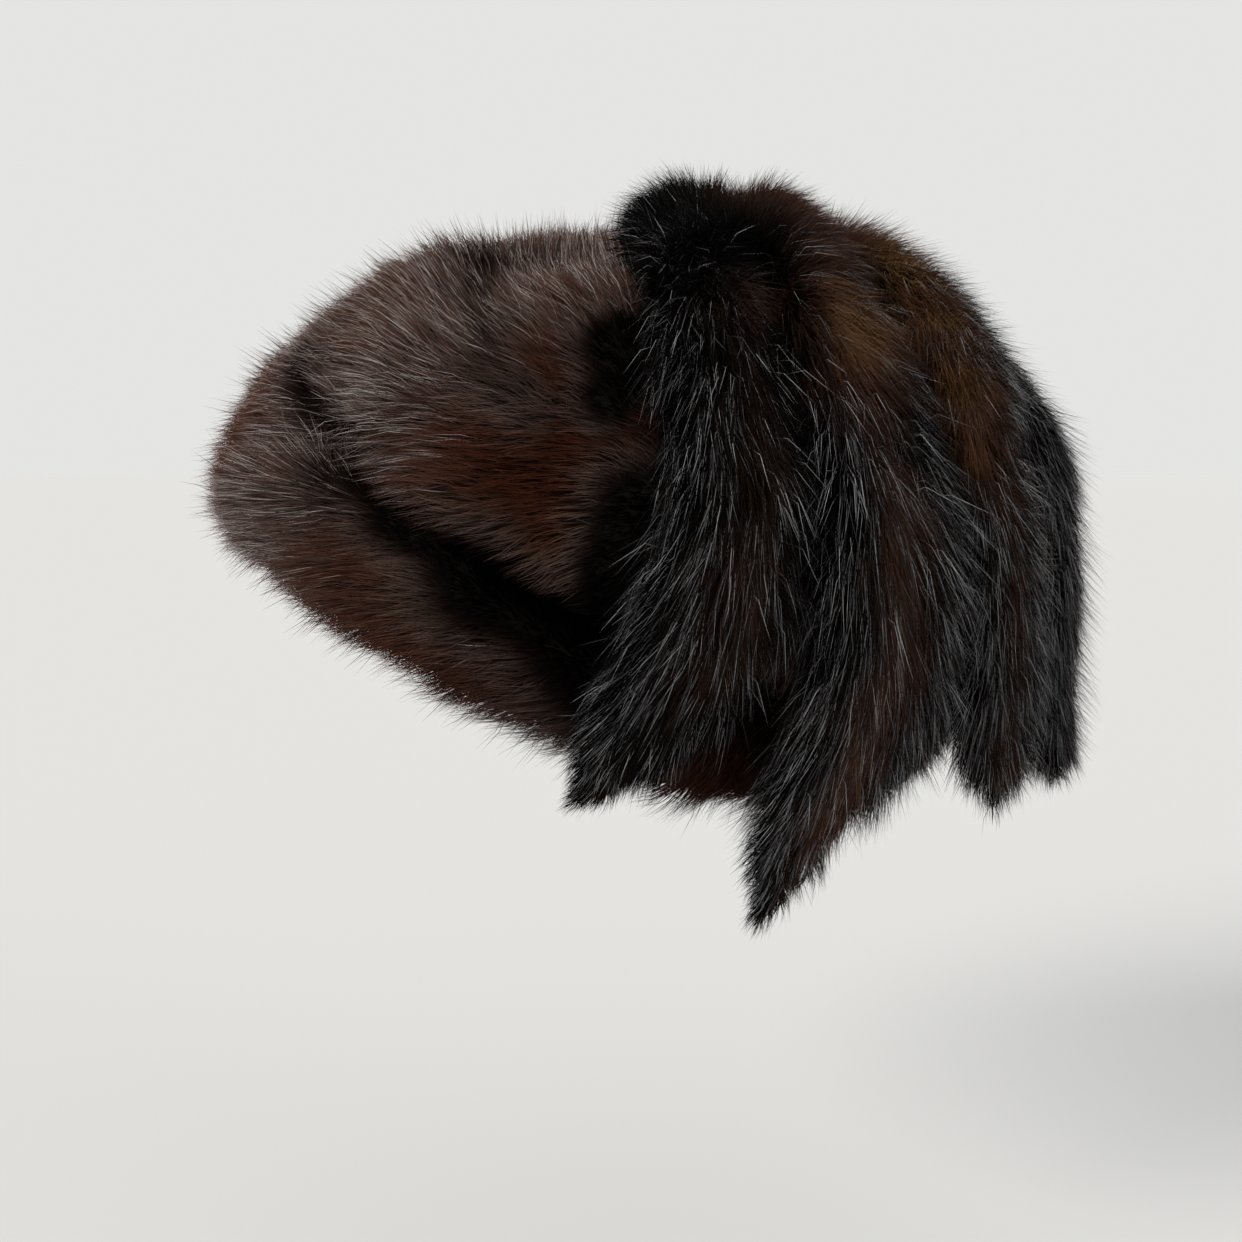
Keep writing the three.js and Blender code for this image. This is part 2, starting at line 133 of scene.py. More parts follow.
# A hair's tone runs from 0, black, through brown, 0.3, chestnut, 0.54, and gold, 0.74, to pale above
# 0.8, which is partly the fur's grey and partly painted glints. Brown hairs stay below the pale ones, and
# clouds and chance make them vary: sizes are in metres.
BROWNEST = 0.76
TONE_LIMITS = (0.01, 0.99)
TONE_SPREAD = 0.05
CLOUDS = [
    {"size": 0.06, "strength": 0.06, "seed": 11},
    {"size": 0.014, "strength": 0.05, "seed": 12},
]
BASE_TONES = {"crown": 0.3, "brim_roll": 0.3}

# Each tail's parting, in quarters of its width, the tones of its middle, sides and root, where its root
# ends as a share of the tail, how many more of its hairs are pale, partly grey and partly painted glints,
# how long they are in all, at the root and at the tip, and the way they are swept at the tip.
TAIL_LOOKS = {
    "tail_1": {"parting": 0.3, "middle": 0.2, "sides": 0.03, "root": 0.03, "root_end": 0.5, "pale": 0.62,
               "length": 1, "root_length": 0.8, "tip_length": 0.75, "sweep": (-0.5, 0, -0.15)},
    "tail_2": {"parting": -0.25, "middle": 0.47, "sides": 0.06, "root": 0.3, "root_end": 0.35, "pale": 0.9,
               "length": 1, "root_length": 1, "tip_length": 0.8, "sweep": (-0.55, 0, -0.15)},
    "tail_3": {"parting": -0.3, "middle": 0.36, "sides": 0.07, "root": 0.4, "root_end": 0.35, "pale": 1.3,
               "length": 1, "root_length": 1, "tip_length": 0.9, "sweep": (-0.35, 0, 0)},
    "tail_4": {"parting": 0, "middle": 0.4, "sides": 0.12, "root": 0.28, "root_end": 0.3, "pale": 1.5,
               "length": 0.9, "root_length": 1, "tip_length": 1.1, "sweep": (-0.25, 0, -0.2)},
}

# Where the hair of the crown and the roll, or of the tails, shows another tone: centre and reach in mm,
# and the tone that it is drawn to
HAT_PATCHES = [
    {"at": (8, -138, 73), "reach": 40, "tone": 0.56},
    {"at": (27, -136, 78), "reach": 24, "tone": 0.56},
    {"at": (8, -125, 100), "reach": 18, "tone": 0.48},
    {"at": (-111, -67, 80), "reach": 15, "tone": 0.5},
    {"at": (-42, -120, 20), "reach": 28, "tone": 0.56},
    {"at": (-10, -130, 0), "reach": 30, "tone": 0.5},
    {"at": (54, -113, -34), "reach": 34, "tone": 0.46},
    {"at": (-4, -132, 54), "reach": 36, "tone": 0.52},
    {"at": (-60, -112, 36), "reach": 26, "tone": 0.42},
]
TAIL_PATCHES = [
    {"at": (62, -124, 126), "reach": 12, "tone": 0.5},
    {"at": (90, -125, 119), "reach": 20, "tone": 0.68},
    {"at": (70, -68, 159), "reach": 24, "tone": 0.42},
    {"at": (100, -70, 150), "reach": 24, "tone": 0.55},
    {"at": (114, -68, 142), "reach": 17, "tone": 0.72},
    {"at": (123, -90, 122), "reach": 14, "tone": 0.72},
    {"at": (128, -108, 102), "reach": 14, "tone": 0.72},
    {"at": (131, -120, 80), "reach": 13, "tone": 0.7},
]

# Painted sheen: where more of the hairs are pale, as painted highlights of the light on the fur: centre
# and reach in mm, and how many more
PAINTED_SHEENS = [
    {"at": (-14, -107, 113), "reach": 20, "more": 0.45},
    {"at": (-4, -99, 126), "reach": 30, "more": 0.3},
    {"at": (-75, -50, 120), "reach": 55, "more": 0.1},
    {"at": (-122, -66, 50), "reach": 30, "more": 1.6},
    {"at": (-58, -112, 85), "reach": 34, "more": 1.0},
]

# Creases of the crown and the roll, in mm: the hair in them is shorter, and painted darker as painted
# shade
CREASES = [
    {"line": [(-92, -62, 108), (-86, -84, 96), (-78, -104, 81), (-67, -106, 65), (-54, -112, 53)],
     "reach": 6, "depth": 0.85},
    {"line": [(-54, -112, 53), (-38, -115, 42), (-20, -113, 34)], "reach": 9, "depth": 1.1},
    {"line": [(-20, -113, 34), (-4, -110, 25), (10, -113, 14), (24, -116, 2)], "reach": 21, "depth": 1.7},
    {"line": [(22, -115, 108), (28, -120, 98), (22, -126, 92)], "reach": 12, "depth": 1.6},
    {"line": [(30, -142, 52), (26, -146, 41), (21, -140, 24)], "reach": 17, "depth": 1.5},
    {"line": [(-28, -70, 135), (-23, -93, 119), (-16, -117, 97), (-5, -130, 86)],
     "reach": 11, "depth": 0.5},
]

# At the front the fur closes over the seam between the crown and the roll: its line, in mm
SEAM = [(-118, -40, 78), (-114, -62, 74), (-106, -80, 72), (-95, -92, 70), (-82, -100, 68)]
SEAM_REACH = 11
# How far the skin comes up in the seam and in the creases, in mm
SEAM_RISE = 6.0
CREASE_RISE = 1.5
# How much shorter the hair is in a crease, and how much the crease's painted shade darkens hair that only
# lies across it
CREASE_CUT = 0.5
CREASE_SHADE = 0.5

# The coat of the crown and the roll: how far its lie wanders, in radians, and how far its length
# varies, each over a distance in metres, the share of its hairs that grow below the tails, and the
# share that is missing at the back, on faces that turn this far back.
SHELL_COAT = {"wander": 0.22, "wander_size": 0.045, "vary": 0.1, "vary_size": 0.03,
              "below_tails": 0.03, "thinner_back": 0.35, "back": (0.1, 0.6)}
# A tail covers what lies nearer to its middle than this share of its half width, and a little beyond,
# in metres
TAIL_COVER = {"share": 0.6, "fade": 0.008}

# Painted shade between two tails: past their roots, the fur is painted darker where it lies nearer to the
# next tail's middle than this many of that tail's half widths
VALLEY = {"reach": 1.35, "fade": 0.4, "past_root": (0.2, 0.3), "shade": 0.85}

# The coat of the tails. The side to the head and the root's end have only a share of its hairs. They
# slant off the middle line, by so much at a quarter of the width and less at the tip, and their lie
# wanders, in radians over metres. They have their full length at this half width, in metres, and other
# lengths within limits. More of them stand up at the root, which fades into the rest over this share of
# the tail.
TAIL_COAT = {"inner": 0.3, "end_cap": 0.2, "end_cap_below": -0.6, "slant": 0.45, "tip_slant": 0.15,
             "tip_start": 0.65, "wander": 0.2, "wander_size": 0.03, "full_half_width": 0.026,
             "lengths": (0.45, 1.1), "root_fade": 0.15, "root_stray": 2.5}
# How wide the middle's tone reaches, in quarters of the width, the share of pale hairs, partly painted
# glints, that it keeps, and how many of them the root loses
TAIL_MIDDLE = {"reach": 0.55, "pale": 0.4, "root_loss": 0.88}

# Where the fur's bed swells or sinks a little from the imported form: centre, reach and shift in mm
NUDGES = [
    {"at": (-120, -55, 66), "reach": 34, "shift": (2, 0, -8), "nodes": ("crown", "brim_roll")},
    {"at": (-112, -28, 107), "reach": 32, "shift": (4, 0, -4.5), "nodes": ("crown",)},
    {"at": (-50, -55, 140), "reach": 32, "shift": (-2, 0, 9), "nodes": ("crown",)},
    {"at": (2, -55, 149), "reach": 26, "shift": (0, 0, -12), "nodes": ("crown",)},
    {"at": (-86, -99, 29), "reach": 26, "shift": (-3, 0, -6), "nodes": ("brim_roll",)},
    {"at": (-4, -130, -18), "reach": 30, "shift": (0, 0, 5), "nodes": ("brim_roll", "tail_1")},
    {"at": (-38, -116, -18), "reach": 26, "shift": (0, 0, 4), "nodes": ("brim_roll",)},
    {"at": (114, -70, -44), "reach": 28, "shift": (11, -8, 18), "nodes": ("brim_roll",)},
    {"at": (34, -80, 159), "reach": 20, "shift": (-5, 0, -10), "nodes": ("tail_1",)},
    {"at": (58, -78, 156), "reach": 22, "shift": (7, 0, 4), "nodes": ("tail_1",)},
    {"at": (66, -72, 157), "reach": 20, "shift": (-3, 0, 4), "nodes": ("tail_2",)},
    {"at": (92, -66, 150), "reach": 24, "shift": (1, 0, 4), "nodes": ("tail_2", "tail_3")},
    {"at": (132, -45, 134), "reach": 24, "shift": (-2, 0, -5), "nodes": ("tail_3", "tail_4")},
    {"at": (156, -30, 116), "reach": 26, "shift": (-4, 0, -5), "nodes": ("tail_3", "tail_4")},
    {"at": (104, -128, -42), "reach": 30, "shift": (-3, 0, 4), "nodes": ("tail_2",)},
    {"at": (82, -121, -56), "reach": 24, "shift": (-6, 0, 0), "nodes": ("tail_2",)},
    {"at": (150, -98, -36), "reach": 24, "shift": (-5, 0, 12), "nodes": ("tail_3",)},
    {"at": (160, -90, 80), "reach": 34, "shift": (-5, 0, 0), "nodes": ("tail_3", "tail_4")},
    {"at": (186, -40, 40), "reach": 34, "shift": (-6, 0, 0), "nodes": ("tail_4",)},
    {"at": (178, -40, -20), "reach": 34, "shift": (-4, 0, 0), "nodes": ("tail_4",)},
]


def rotate_about(vectors, axes, angles):
    """Each vector turned about its own unit axis."""
    cos = np.cos(angles)[:, None]
    sin = np.sin(angles)[:, None]
    along = (vectors * axes).sum(1)[:, None] * axes
    return vectors * cos + np.cross(axes, vectors) * sin + along * (1 - cos)


def unit(vectors):
    return vectors / np.maximum(np.linalg.norm(vectors, axis=-1, keepdims=True), 1e-9)


def rising(values, start, end):
    """0 up to the start, 1 from the end, and evenly between. The end may lie below the start."""
    return np.clip((values - start) / (end - start), 0, 1)


def bell(values, reach):
    """1 at 0, and falling softly on both sides."""
    return np.exp(-((values / reach) ** 2))


def flat_to(vectors, normals):
    """The unit part of each vector that lies along the surface."""
    return unit(vectors - (vectors * normals).sum(1)[:, None] * normals)


def drift(points, size, seed, count=5):
    """Smooth values between about -1 and 1 that change over this distance in metres: a sum of waves."""
    waves = np.random.default_rng(seed)
    value = np.zeros(len(points))
    for _ in range(count):
        direction = unit(waves.normal(size=3)) * (2 * math.pi / size) * waves.uniform(0.6, 1.4)
        value += np.sin(points @ direction + waves.uniform(0, 2 * math.pi))
    return value / (count / 2)


def away_from_line(points, line):
    """How far each point lies from a line of places in mm."""
    places = np.array(line) * MM
    distance = np.full(len(points), np.inf)
    for a, b in zip(places, places[1:]):
        along = np.clip((points - a) @ (b - a) / ((b - a) @ (b - a)), 0, 1)
        distance = np.minimum(distance, np.linalg.norm(points - a - along[:, None] * (b - a), axis=1))
    return distance


def crease_share(points):
    """How deep each place lies in a crease: 0 outside, 1 at the bottom."""
    share = np.zeros(len(points))
    for crease in CREASES:
        near = bell(away_from_line(points, crease["line"]), crease["reach"] * MM)
        share = np.maximum(share, crease["depth"] * near)
    return np.minimum(share, 1)


def near_places(points, places, key):
    """For each place in a table, its own value and how near each point lies to it, from 0 to 1."""
    for place in places:
        distance = np.linalg.norm(points - np.array(place["at"]) * MM, axis=1)
        yield place[key], bell(distance, place["reach"] * MM)


def nudged(points, node):
    """A node's points after the small swells and dips of the fur's bed."""
    moved = points.copy()
    own = [nudge for nudge in NUDGES if node in nudge["nodes"]]
    for shift, near in near_places(points, own, "shift"):
        moved += near[:, None] * np.array(shift) * MM
    return moved


def new_object(name, data):
    item = bpy.data.objects.new(name, data)
    bpy.context.scene.collection.objects.link(item)
    return item


def remeshed(node, name, settings):
    """A new piece with a node's form in an even, softened mesh."""
    piece = new_object(name, frame["nodes"][node].data.copy())
    even = piece.modifiers.new("even", "REMESH")
    even.mode = "VOXEL"
    even.voxel_size = settings["voxel"] * MM
    soft = piece.modifiers.new("soft", "SMOOTH")
    soft.iterations = settings["smooth"]
    bpy.context.view_layer.update()
    mesh = bpy.data.meshes.new_from_object(piece.evaluated_get(bpy.context.evaluated_depsgraph_get()))
    piece.modifiers.clear()
    piece.data = mesh
    mesh.materials.clear()
    mesh.shade_smooth()
    return piece


def points_of(mesh):
    points = np.zeros(len(mesh.vertices) * 3, np.float32)
    mesh.vertices.foreach_get("co", points)
    return points.reshape(-1, 3).astype(float)


def normals_of(mesh):
    normals = np.zeros(len(mesh.vertices) * 3, np.float32)
    mesh.vertex_normals.foreach_get("vector", normals)
    return normals.reshape(-1, 3).astype(float)


def place_points(mesh, points):
    mesh.vertices.foreach_set("co", points.astype(np.float32).ravel())
    mesh.update()


def from_axis(points):
    """The way from the middle of the head to each point, level with the head opening."""
    return points - (points @ HAT_UP)[:, None] * HAT_UP


def outer_side(points, normals):
    """1 where a surface faces away from the head, 0 where it faces the head, and between at its edges."""
    upward = np.maximum(points @ HAT_UP, 0)[:, None] * HAT_UP
    outward = unit(from_axis(points) + OUTWARD["top"] * upward)
    return np.clip(0.5 + OUTWARD["sharpness"] * (outward * normals).sum(1), 0, 1)


def drop_crumbs(mesh):
    """Takes off small parts that the even mesh left beside the one below the tails' roots."""
    apart = np.flatnonzero(np.isinf(distances_along(mesh, TAILS_GATHER)))
    edited = bmesh.new()
    edited.from_mesh(mesh)
    edited.verts.ensure_lookup_table()
    bmesh.ops.delete(edited, geom=[edited.verts[k] for k in apart], context="VERTS")
    edited.to_mesh(mesh)
    edited.free()


def make_pelt(node):
    """The soft skin that the fur of the crown or the roll grows from."""
    settings = PELTS[node]
    piece = remeshed(node, node + "_pelt", settings)
    drop_crumbs(piece.data)
    points = points_of(piece.data)
    normals = normals_of(piece.data)
    creases = crease_share(points)
    seam = bell(away_from_line(points, SEAM), SEAM_REACH * MM)
    outer = outer_side(points, normals)
    inset = settings["inset"] * MM * outer * (1 - creases) * (1 - seam)
    inset -= MM * (CREASE_RISE * creases + SEAM_RISE * seam)
    place_points(piece.data, nudged(points - normals * inset[:, None], node))
    inside = outer < INSIDE_BELOW
    # The outside takes the pelt painted near black as shade, the inside its plain skin
    corners = [polygon.vertices[0] for polygon in piece.data.polygons]
    piece.data.polygons.foreach_set("material_index", inside[corners].astype(np.int32))
    return piece


def distances_along(mesh, start):
    """How far each vertex lies from the start, measured along the mesh."""
    points = points_of(mesh)
    edges = np.zeros(len(mesh.edges) * 2, np.int32)
    mesh.edges.foreach_get("vertices", edges)
    edges = edges.reshape(-1, 2)
    lengths = np.linalg.norm(points[edges[:, 0]] - points[edges[:, 1]], axis=1)
    near = [[] for _ in points]
    for (a, b), length in zip(edges.tolist(), lengths.tolist()):
        near[a].append((b, length))
        near[b].append((a, length))
    first = int(np.argmin(np.linalg.norm(points - np.array(start), axis=1)))
    best = np.full(len(points), np.inf)
    best[first] = 0
    waiting = [(0.0, first)]
    while waiting:
        reached, vertex = heapq.heappop(waiting)
        if reached > best[vertex]:
            continue
        for other, length in near[vertex]:
            if reached + length < best[other]:
                best[other] = reached + length
                heapq.heappush(waiting, (reached + length, other))
    return best


def spine_of(mesh, stations=22):
    """A tail's middle line from its root: places, directions, sides and half widths."""
    points = points_of(mesh)
    along = distances_along(mesh, TAILS_GATHER)
    edges = np.linspace(0, along[np.isfinite(along)].max() * 1.0001, stations + 1)
    middles = np.array([points[(along >= a) & (along < b)].mean(0) for a, b in zip(edges, edges[1:])])
    for _ in range(2):
        middles[1:-1] = (middles[:-2] + 2 * middles[1:-1] + middles[2:]) / 4
    directions = unit(np.gradient(middles, axis=0))
    sides, halves = [], []
    for k, (a, b) in enumerate(zip(edges, edges[1:])):
        ring = points[(along >= a) & (along < b)] - middles[k]
        ring -= (ring @ directions[k])[:, None] * directions[k]
        sizes, axes = np.linalg.eigh(ring.T @ ring / len(ring))
        side = axes[:, -1]
        facing = sides[-1] if sides else np.array((1, 0, 0))
        sides.append(side if side @ facing > 0 else -side)
        halves.append(math.sqrt(2 * sizes[-1]))
    sides, halves = np.array(sides), np.array(halves)
    return {"middles": middles, "directions": directions, "sides": sides, "halves": halves}


def nearest(places, points):
    tree = KDTree(len(places))
    for k, place in enumerate(places):
        tree.insert(place, k)
    tree.balance()
    return np.array([tree.find(point)[1] for point in points])


def make_tail_pelt(node):
    """A slim core along the tail's middle that its long hairs grow from."""
    settings = PELTS["tail"]
    piece = remeshed(node, node + "_pelt", settings)
    spine = spine_of(piece.data)
    points = points_of(piece.data)
    station = nearest(spine["middles"], points)
    middle = spine["middles"][station]
    direction = spine["directions"][station]
    across = points - middle
    lengthwise = (across * direction).sum(1)[:, None] * direction
    along = station / len(spine["middles"])
    near_root = rising(along, settings["root_end"], 0)[:, None]
    near_tip = rising(along, settings["tip_start"], 1)[:, None]
    core = settings["core"][0] * near_root + settings["core"][1] * (1 - near_root)
    core = core * (1 - settings["taper"] * near_tip)
    slimmed = middle + lengthwise * settings["length"] + (across - lengthwise) * core
    place_points(piece.data, nudged(slimmed, node))
    return piece, spine


def sample(mesh, count, rng, wanted):
    """Random places on a mesh with their normals, as dense as wanted(points, normals) says."""
    mesh.calc_loop_triangles()
    corners = np.zeros(len(mesh.loop_triangles) * 3, np.int32)
    mesh.loop_triangles.foreach_get("vertices", corners)
    corners = corners.reshape(-1, 3)
    points = points_of(mesh)
    normals = normals_of(mesh)
    a, b, c = (points[corners[:, k]] for k in range(3))
    across = np.cross(b - a, c - a)
    shares = np.linalg.norm(across, axis=1) * wanted((a + b + c) / 3, unit(across))
    chosen = rng.choice(len(corners), count, p=shares / shares.sum())
    u, v = rng.uniform(size=(2, count, 1))
    over = u + v > 1
    u, v = np.where(over, 1 - u, u), np.where(over, 1 - v, v)
    root = a[chosen] + u * (b - a)[chosen] + v * (c - a)[chosen]
    na, nb, nc = (normals[corners[chosen, k]] for k in range(3))
    return root, unit(na * (1 - u - v) + nb * u + nc * v)


def tones_at(points, base, patches, shade, rng, pale, pale_tones):
    """The tone of each hair: the base, drawn to a patch's and darkened by painted shade, or that of a pale
    hair, partly grey and partly a painted glint.
    """
    tone = base
    for cloud in CLOUDS:
        tone = tone + cloud["strength"] * drift(points, cloud["size"], cloud["seed"])
    for target, near in near_places(points, patches, "tone"):
        tone += (target - tone) * near
        pale = pale * (1 - near) ** 2
    tone += rng.normal(0, TONE_SPREAD, len(points))
    # Painted shade takes the painted glints of pale hairs out and darkens the rest
    is_pale = rng.uniform(size=len(points)) < pale * (1 - shade)
    pale_tone = rng.uniform(*pale_tones, len(points))
    tone = np.minimum(tone, BROWNEST) * (1 - shade)
    return np.clip(np.where(is_pale, pale_tone, tone), *TONE_LIMITS)


def hair_lines(roots, normals, flows, layer, scale, stray, rng):
    """The points of each hair from root to tip, gathered into tufts. Scale is for its length, and stray
    for the share of hairs that stand up."""
    count = len(roots)
    steps = layer["steps"]
    length = layer["length"] * MM * scale * rng.uniform(*LENGTH_SPREAD, count)
    flows = flat_to(flows + layer["scatter"] * rng.normal(size=(count, 3)), normals)
    standing = (rng.uniform(size=count) < layer["stray"] * stray) * rng.uniform(*STANDING_LIFT, count)
    turned = rng.normal(0, LIFT_SPREAD, count)
    lines = [roots]
    for k in range(steps):
        share = k / max(steps - 1, 1)
        lift = np.radians(layer["lift"][0] * (1 - share) + layer["lift"][1] * share) + turned + standing
        step = flows * np.cos(lift)[:, None] + normals * np.sin(lift)[:, None]
        step[:, 2] -= layer["droop"] * share
        lines.append(lines[-1] + unit(step) * (length / steps)[:, None])
    tufts = rng.choice(count, max(int(count / layer["tuft"]), FEWEST_TUFTS), replace=False)
    own = tufts[nearest(roots[tufts], roots)]
    for k in range(1, steps + 1):
        gather = (k / steps) ** GATHER_CURVE * layer["gather"] * rng.uniform(*GATHER_SPREAD, count)
        share = gather * (standing == 0)
        lines[k] = lines[k] + (lines[k][own] - lines[k]) * share[:, None]
    return lines


def blades_of(lines, normals, tones, width, rng):
    """The corners of a layer's blades, broad side out, and where they lie in the UV map: a hair's tone
    across, and its length from root to tip."""
    steps = len(lines) - 1
    count = len(tones)
    along = unit(lines[-1] - lines[0])
    turns = rng.normal(0, BLADE["turn"], count)
    across = rotate_about(unit(np.cross(along, normals)), along, turns)
    corners = np.zeros((count, 2 * steps + 1, 3))
    uv = np.zeros((count, 2 * steps + 1, 2))
    for k in range(steps):
        share = k / steps
        half = 0.5 * width * MM * (1.0 - BLADE["taper"] * share) * (BLADE["root_width"] if k == 0 else 1.0)
        corners[:, 2 * k] = lines[k] - across * half
        corners[:, 2 * k + 1] = lines[k] + across * half
        uv[:, 2 * k] = np.stack([tones - UV_HALF, np.full(count, share)], 1)
        uv[:, 2 * k + 1] = np.stack([tones + UV_HALF, np.full(count, share)], 1)
    corners[:, -1] = lines[-1]
    uv[:, -1] = np.stack([tones, np.ones(count)], 1)
    return corners, uv


def faces_of(steps):
    """The corners of a blade's faces in turn, and each face's size: quads, and a triangle at the tip."""
    order, sizes = [], []
    for k in range(steps - 1):
        order += [2 * k, 2 * k + 1, 2 * k + 3, 2 * k + 2]
        sizes.append(4)
    order += [2 * steps - 2, 2 * steps - 1, 2 * steps]
    sizes.append(3)
    return order, sizes


def hair_mesh(name, groups, rng):
    """One mesh of a coat's blades. Each layer of hair has the material of its own number."""
    vertices, uvs, loops, starts, numbers = [], [], [], [], []
    first = 0
    loop_count = 0
    for lines, normals, tones, width in groups:
        corners, uv = blades_of(lines, normals, tones, width, rng)
        order, sizes = faces_of(len(lines) - 1)
        count, corners_each = corners.shape[:2]
        own = first + np.arange(count)[:, None] * corners_each
        loops.append((own + np.array(order)).ravel())
        uvs.append(uv[:, order].reshape(-1, 2))
        all_sizes = np.tile(sizes, count)
        starts.append(loop_count + np.concatenate([[0], np.cumsum(all_sizes)[:-1]]))
        vertices.append(corners.reshape(-1, 3))
        first += count * corners_each
        loop_count += count * len(order)
        numbers.append(np.full(len(all_sizes), len(numbers), np.int32))
    vertices, uvs, loops = np.concatenate(vertices), np.concatenate(uvs), np.concatenate(loops)
    starts = np.concatenate(starts)
    mesh = bpy.data.meshes.new(name)
    mesh.vertices.add(len(vertices))
    mesh.vertices.foreach_set("co", vertices.astype(np.float32).ravel())
    mesh.loops.add(len(loops))
    mesh.loops.foreach_set("vertex_index", loops.astype(np.int32))
    mesh.polygons.add(len(starts))
    mesh.polygons.foreach_set("loop_start", starts.astype(np.int32))
    mesh.polygons.foreach_set("material_index", np.concatenate(numbers))
    mesh.update(calc_edges=True)
    layer = mesh.uv_layers.new(name="OFBake")
    layer.data.foreach_set("uv", uvs.astype(np.float32).ravel())
    mesh.validate()
    return mesh


def node_tree(material):
    material.use_nodes = True
    return material.node_tree.nodes, material.node_tree.links, material.node_tree.nodes["Principled BSDF"]


def ramp(nodes, stops):
    node = nodes.new("ShaderNodeValToRGB")
    elements = node.color_ramp.elements
    while len(elements) > 1:
        elements.remove(elements[-1])
    elements[0].position = stops[0][0]
    elements[0].color = (*stops[0][1], 1)
    for position, colour in stops[1:]:
        elements.new(position).color = (*colour, 1)
    return node


# How light a hair is along its length, from root to tip: the dark root is partly the hair's own colour and
# partly painted shade deep in the coat
ROOT_TO_TIP = [(0, 0.2), (0.4, 0.6), (0.75, 1), (1, 0.9)]


def fur_material(name, tones, roughness, gloss):
    """Hair: coloured across by its tone, dark at the root, partly as its own colour and partly as painted
    shade, and lighter towards its end.
    """
    material = bpy.data.materials.new(name)
    nodes, links, shader = node_tree(material)
    uv = nodes.new("ShaderNodeUVMap")
    uv.uv_map = "OFBake"
    parts = nodes.new("ShaderNodeSeparateXYZ")
    links.new(uv.outputs["UV"], parts.inputs[0])
    tone = ramp(nodes, tones)
    links.new(parts.outputs["X"], tone.inputs["Fac"])
    length = ramp(nodes, [(place, (share, share, share)) for place, share in ROOT_TO_TIP])
    links.new(parts.outputs["Y"], length.inputs["Fac"])
    mix = nodes.new("ShaderNodeMix")
    mix.data_type = "RGBA"
    mix.blend_type = "MULTIPLY"
    mix.inputs["Factor"].default_value = 1
    links.new(tone.outputs["Color"], mix.inputs["A"])
    links.new(length.outputs["Color"], mix.inputs["B"])
    links.new(mix.outputs["Result"], shader.inputs["Base Color"])
    shader.inputs["Roughness"].default_value = roughness
    shader.inputs["Specular IOR Level"].default_value = gloss
    return material


def pelt_material(name, dark, light):
    """Matt suede."""
    material = bpy.data.materials.new(name)
    nodes, links, shader = node_tree(material)
    noise = nodes.new("ShaderNodeTexNoise")
    noise.inputs["Scale"].default_value = 90
    noise.inputs["Detail"].default_value = 5
    colour = ramp(nodes, [(0.3, dark), (0.7, light)])
    links.new(noise.outputs["Fac"], colour.inputs["Fac"])
    links.new(colour.outputs["Color"], shader.inputs["Base Color"])
    bump = nodes.new("ShaderNodeBump")
    bump.inputs["Strength"].default_value = 0.5
    bump.inputs["Distance"].default_value = 0.001
    links.new(noise.outputs["Fac"], bump.inputs["Height"])
    links.new(bump.outputs["Normal"], shader.inputs["Normal"])
    shader.inputs["Roughness"].default_value = 0.9
    shader.inputs["Specular IOR Level"].default_value = 0.05
    return material


MINK_TONES = [
    (0.0, (0.0014, 0.0011, 0.001)),
    (0.14, (0.012, 0.0074, 0.006)),
    (0.3, (0.088, 0.056, 0.046)),
    (0.42, (0.054, 0.020, 0.0115)),
    (0.54, (0.041, 0.0098, 0.0042)),
    (0.74, (0.13, 0.058, 0.022)),
    (0.8, (0.14, 0.11, 0.100)),
    (1.0, (0.5, 0.44, 0.42)),
]
TAIL_TONES = [
    (0.0, (0.0008, 0.0008, 0.0008)),
    (0.14, (0.0028, 0.0024, 0.0022)),
    (0.3, (0.015, 0.0085, 0.006)),
    (0.52, (0.046, 0.020, 0.012)),
    (0.74, (0.12, 0.062, 0.022)),
    (0.8, (0.02, 0.02, 0.021)),
    (0.88, (0.07, 0.07, 0.073)),
    (1.0, (0.44, 0.44, 0.455)),
]
mink = [
    fur_material("mink_underfur", MINK_TONES, 0.8, 0.0),
    fur_material("mink_hair", MINK_TONES, 0.6, 0.0),
    fur_material("mink_glint", MINK_TONES, 0.3, 0.03),
]
tail_hair = [
    fur_material("tail_underfur", TAIL_TONES, 0.8, 0.0),
    fur_material("tail_hair", TAIL_TONES, 0.6, 0.0),
    fur_material("tail_glint", TAIL_TONES, 0.3, 0.04),
]
# The pelt's hidden outside, painted near black as painted shade under the fur, and its plain inside
pelt_skins = [
    pelt_material("pelt_painted_shade", (0.0012, 0.001, 0.0009), (0.004, 0.0028, 0.0022)),
    pelt_material("pelt_inside", (0.014, 0.009, 0.0065), (0.03, 0.018, 0.012)),
]

# The lie of the fur, in metres. The crown's lies away from a source below the first tail and only a
# little down, leans back over the top above and right of the crown's shoulder, and lies round the hat
# and down behind.
FUR_SOURCE = np.array((0.085, -0.140, 0.088))
DOWNWARD = 0.4
TOP_LEAN = {"above": (0.085, 0.135), "right_of": (-0.075, -0.005), "way": (0, 0.5, 1.3)}
BEHIND = {"from": (-0.05, 0.02), "fall": (0, 0, 0.5)}
# The roll's lies forward and down, the more so from the front of the hat towards the tails
ROLL_FALL = {"front": 0.05, "more": 0.45, "from": (-0.09, 0.05)}
# That of the tails' roots lies away from the top of the mound that they make, near it and at its back.
# On the top itself it points every way and is shorter.
MOUND = np.array((0.048, -0.104, 0.140))
MOUND_SPREAD = {"near": (0.088, 0.033), "back": (-0.07, -0.04), "root_end": 0.3}
MOUND_TOP = {"reach": 0.024, "mess": 1.1, "cut": 0.35}


def round_the_hat(points):
    """The way round the head: to the left in front, to the right behind."""
    return unit(np.cross(from_axis(points), HAT_UP))


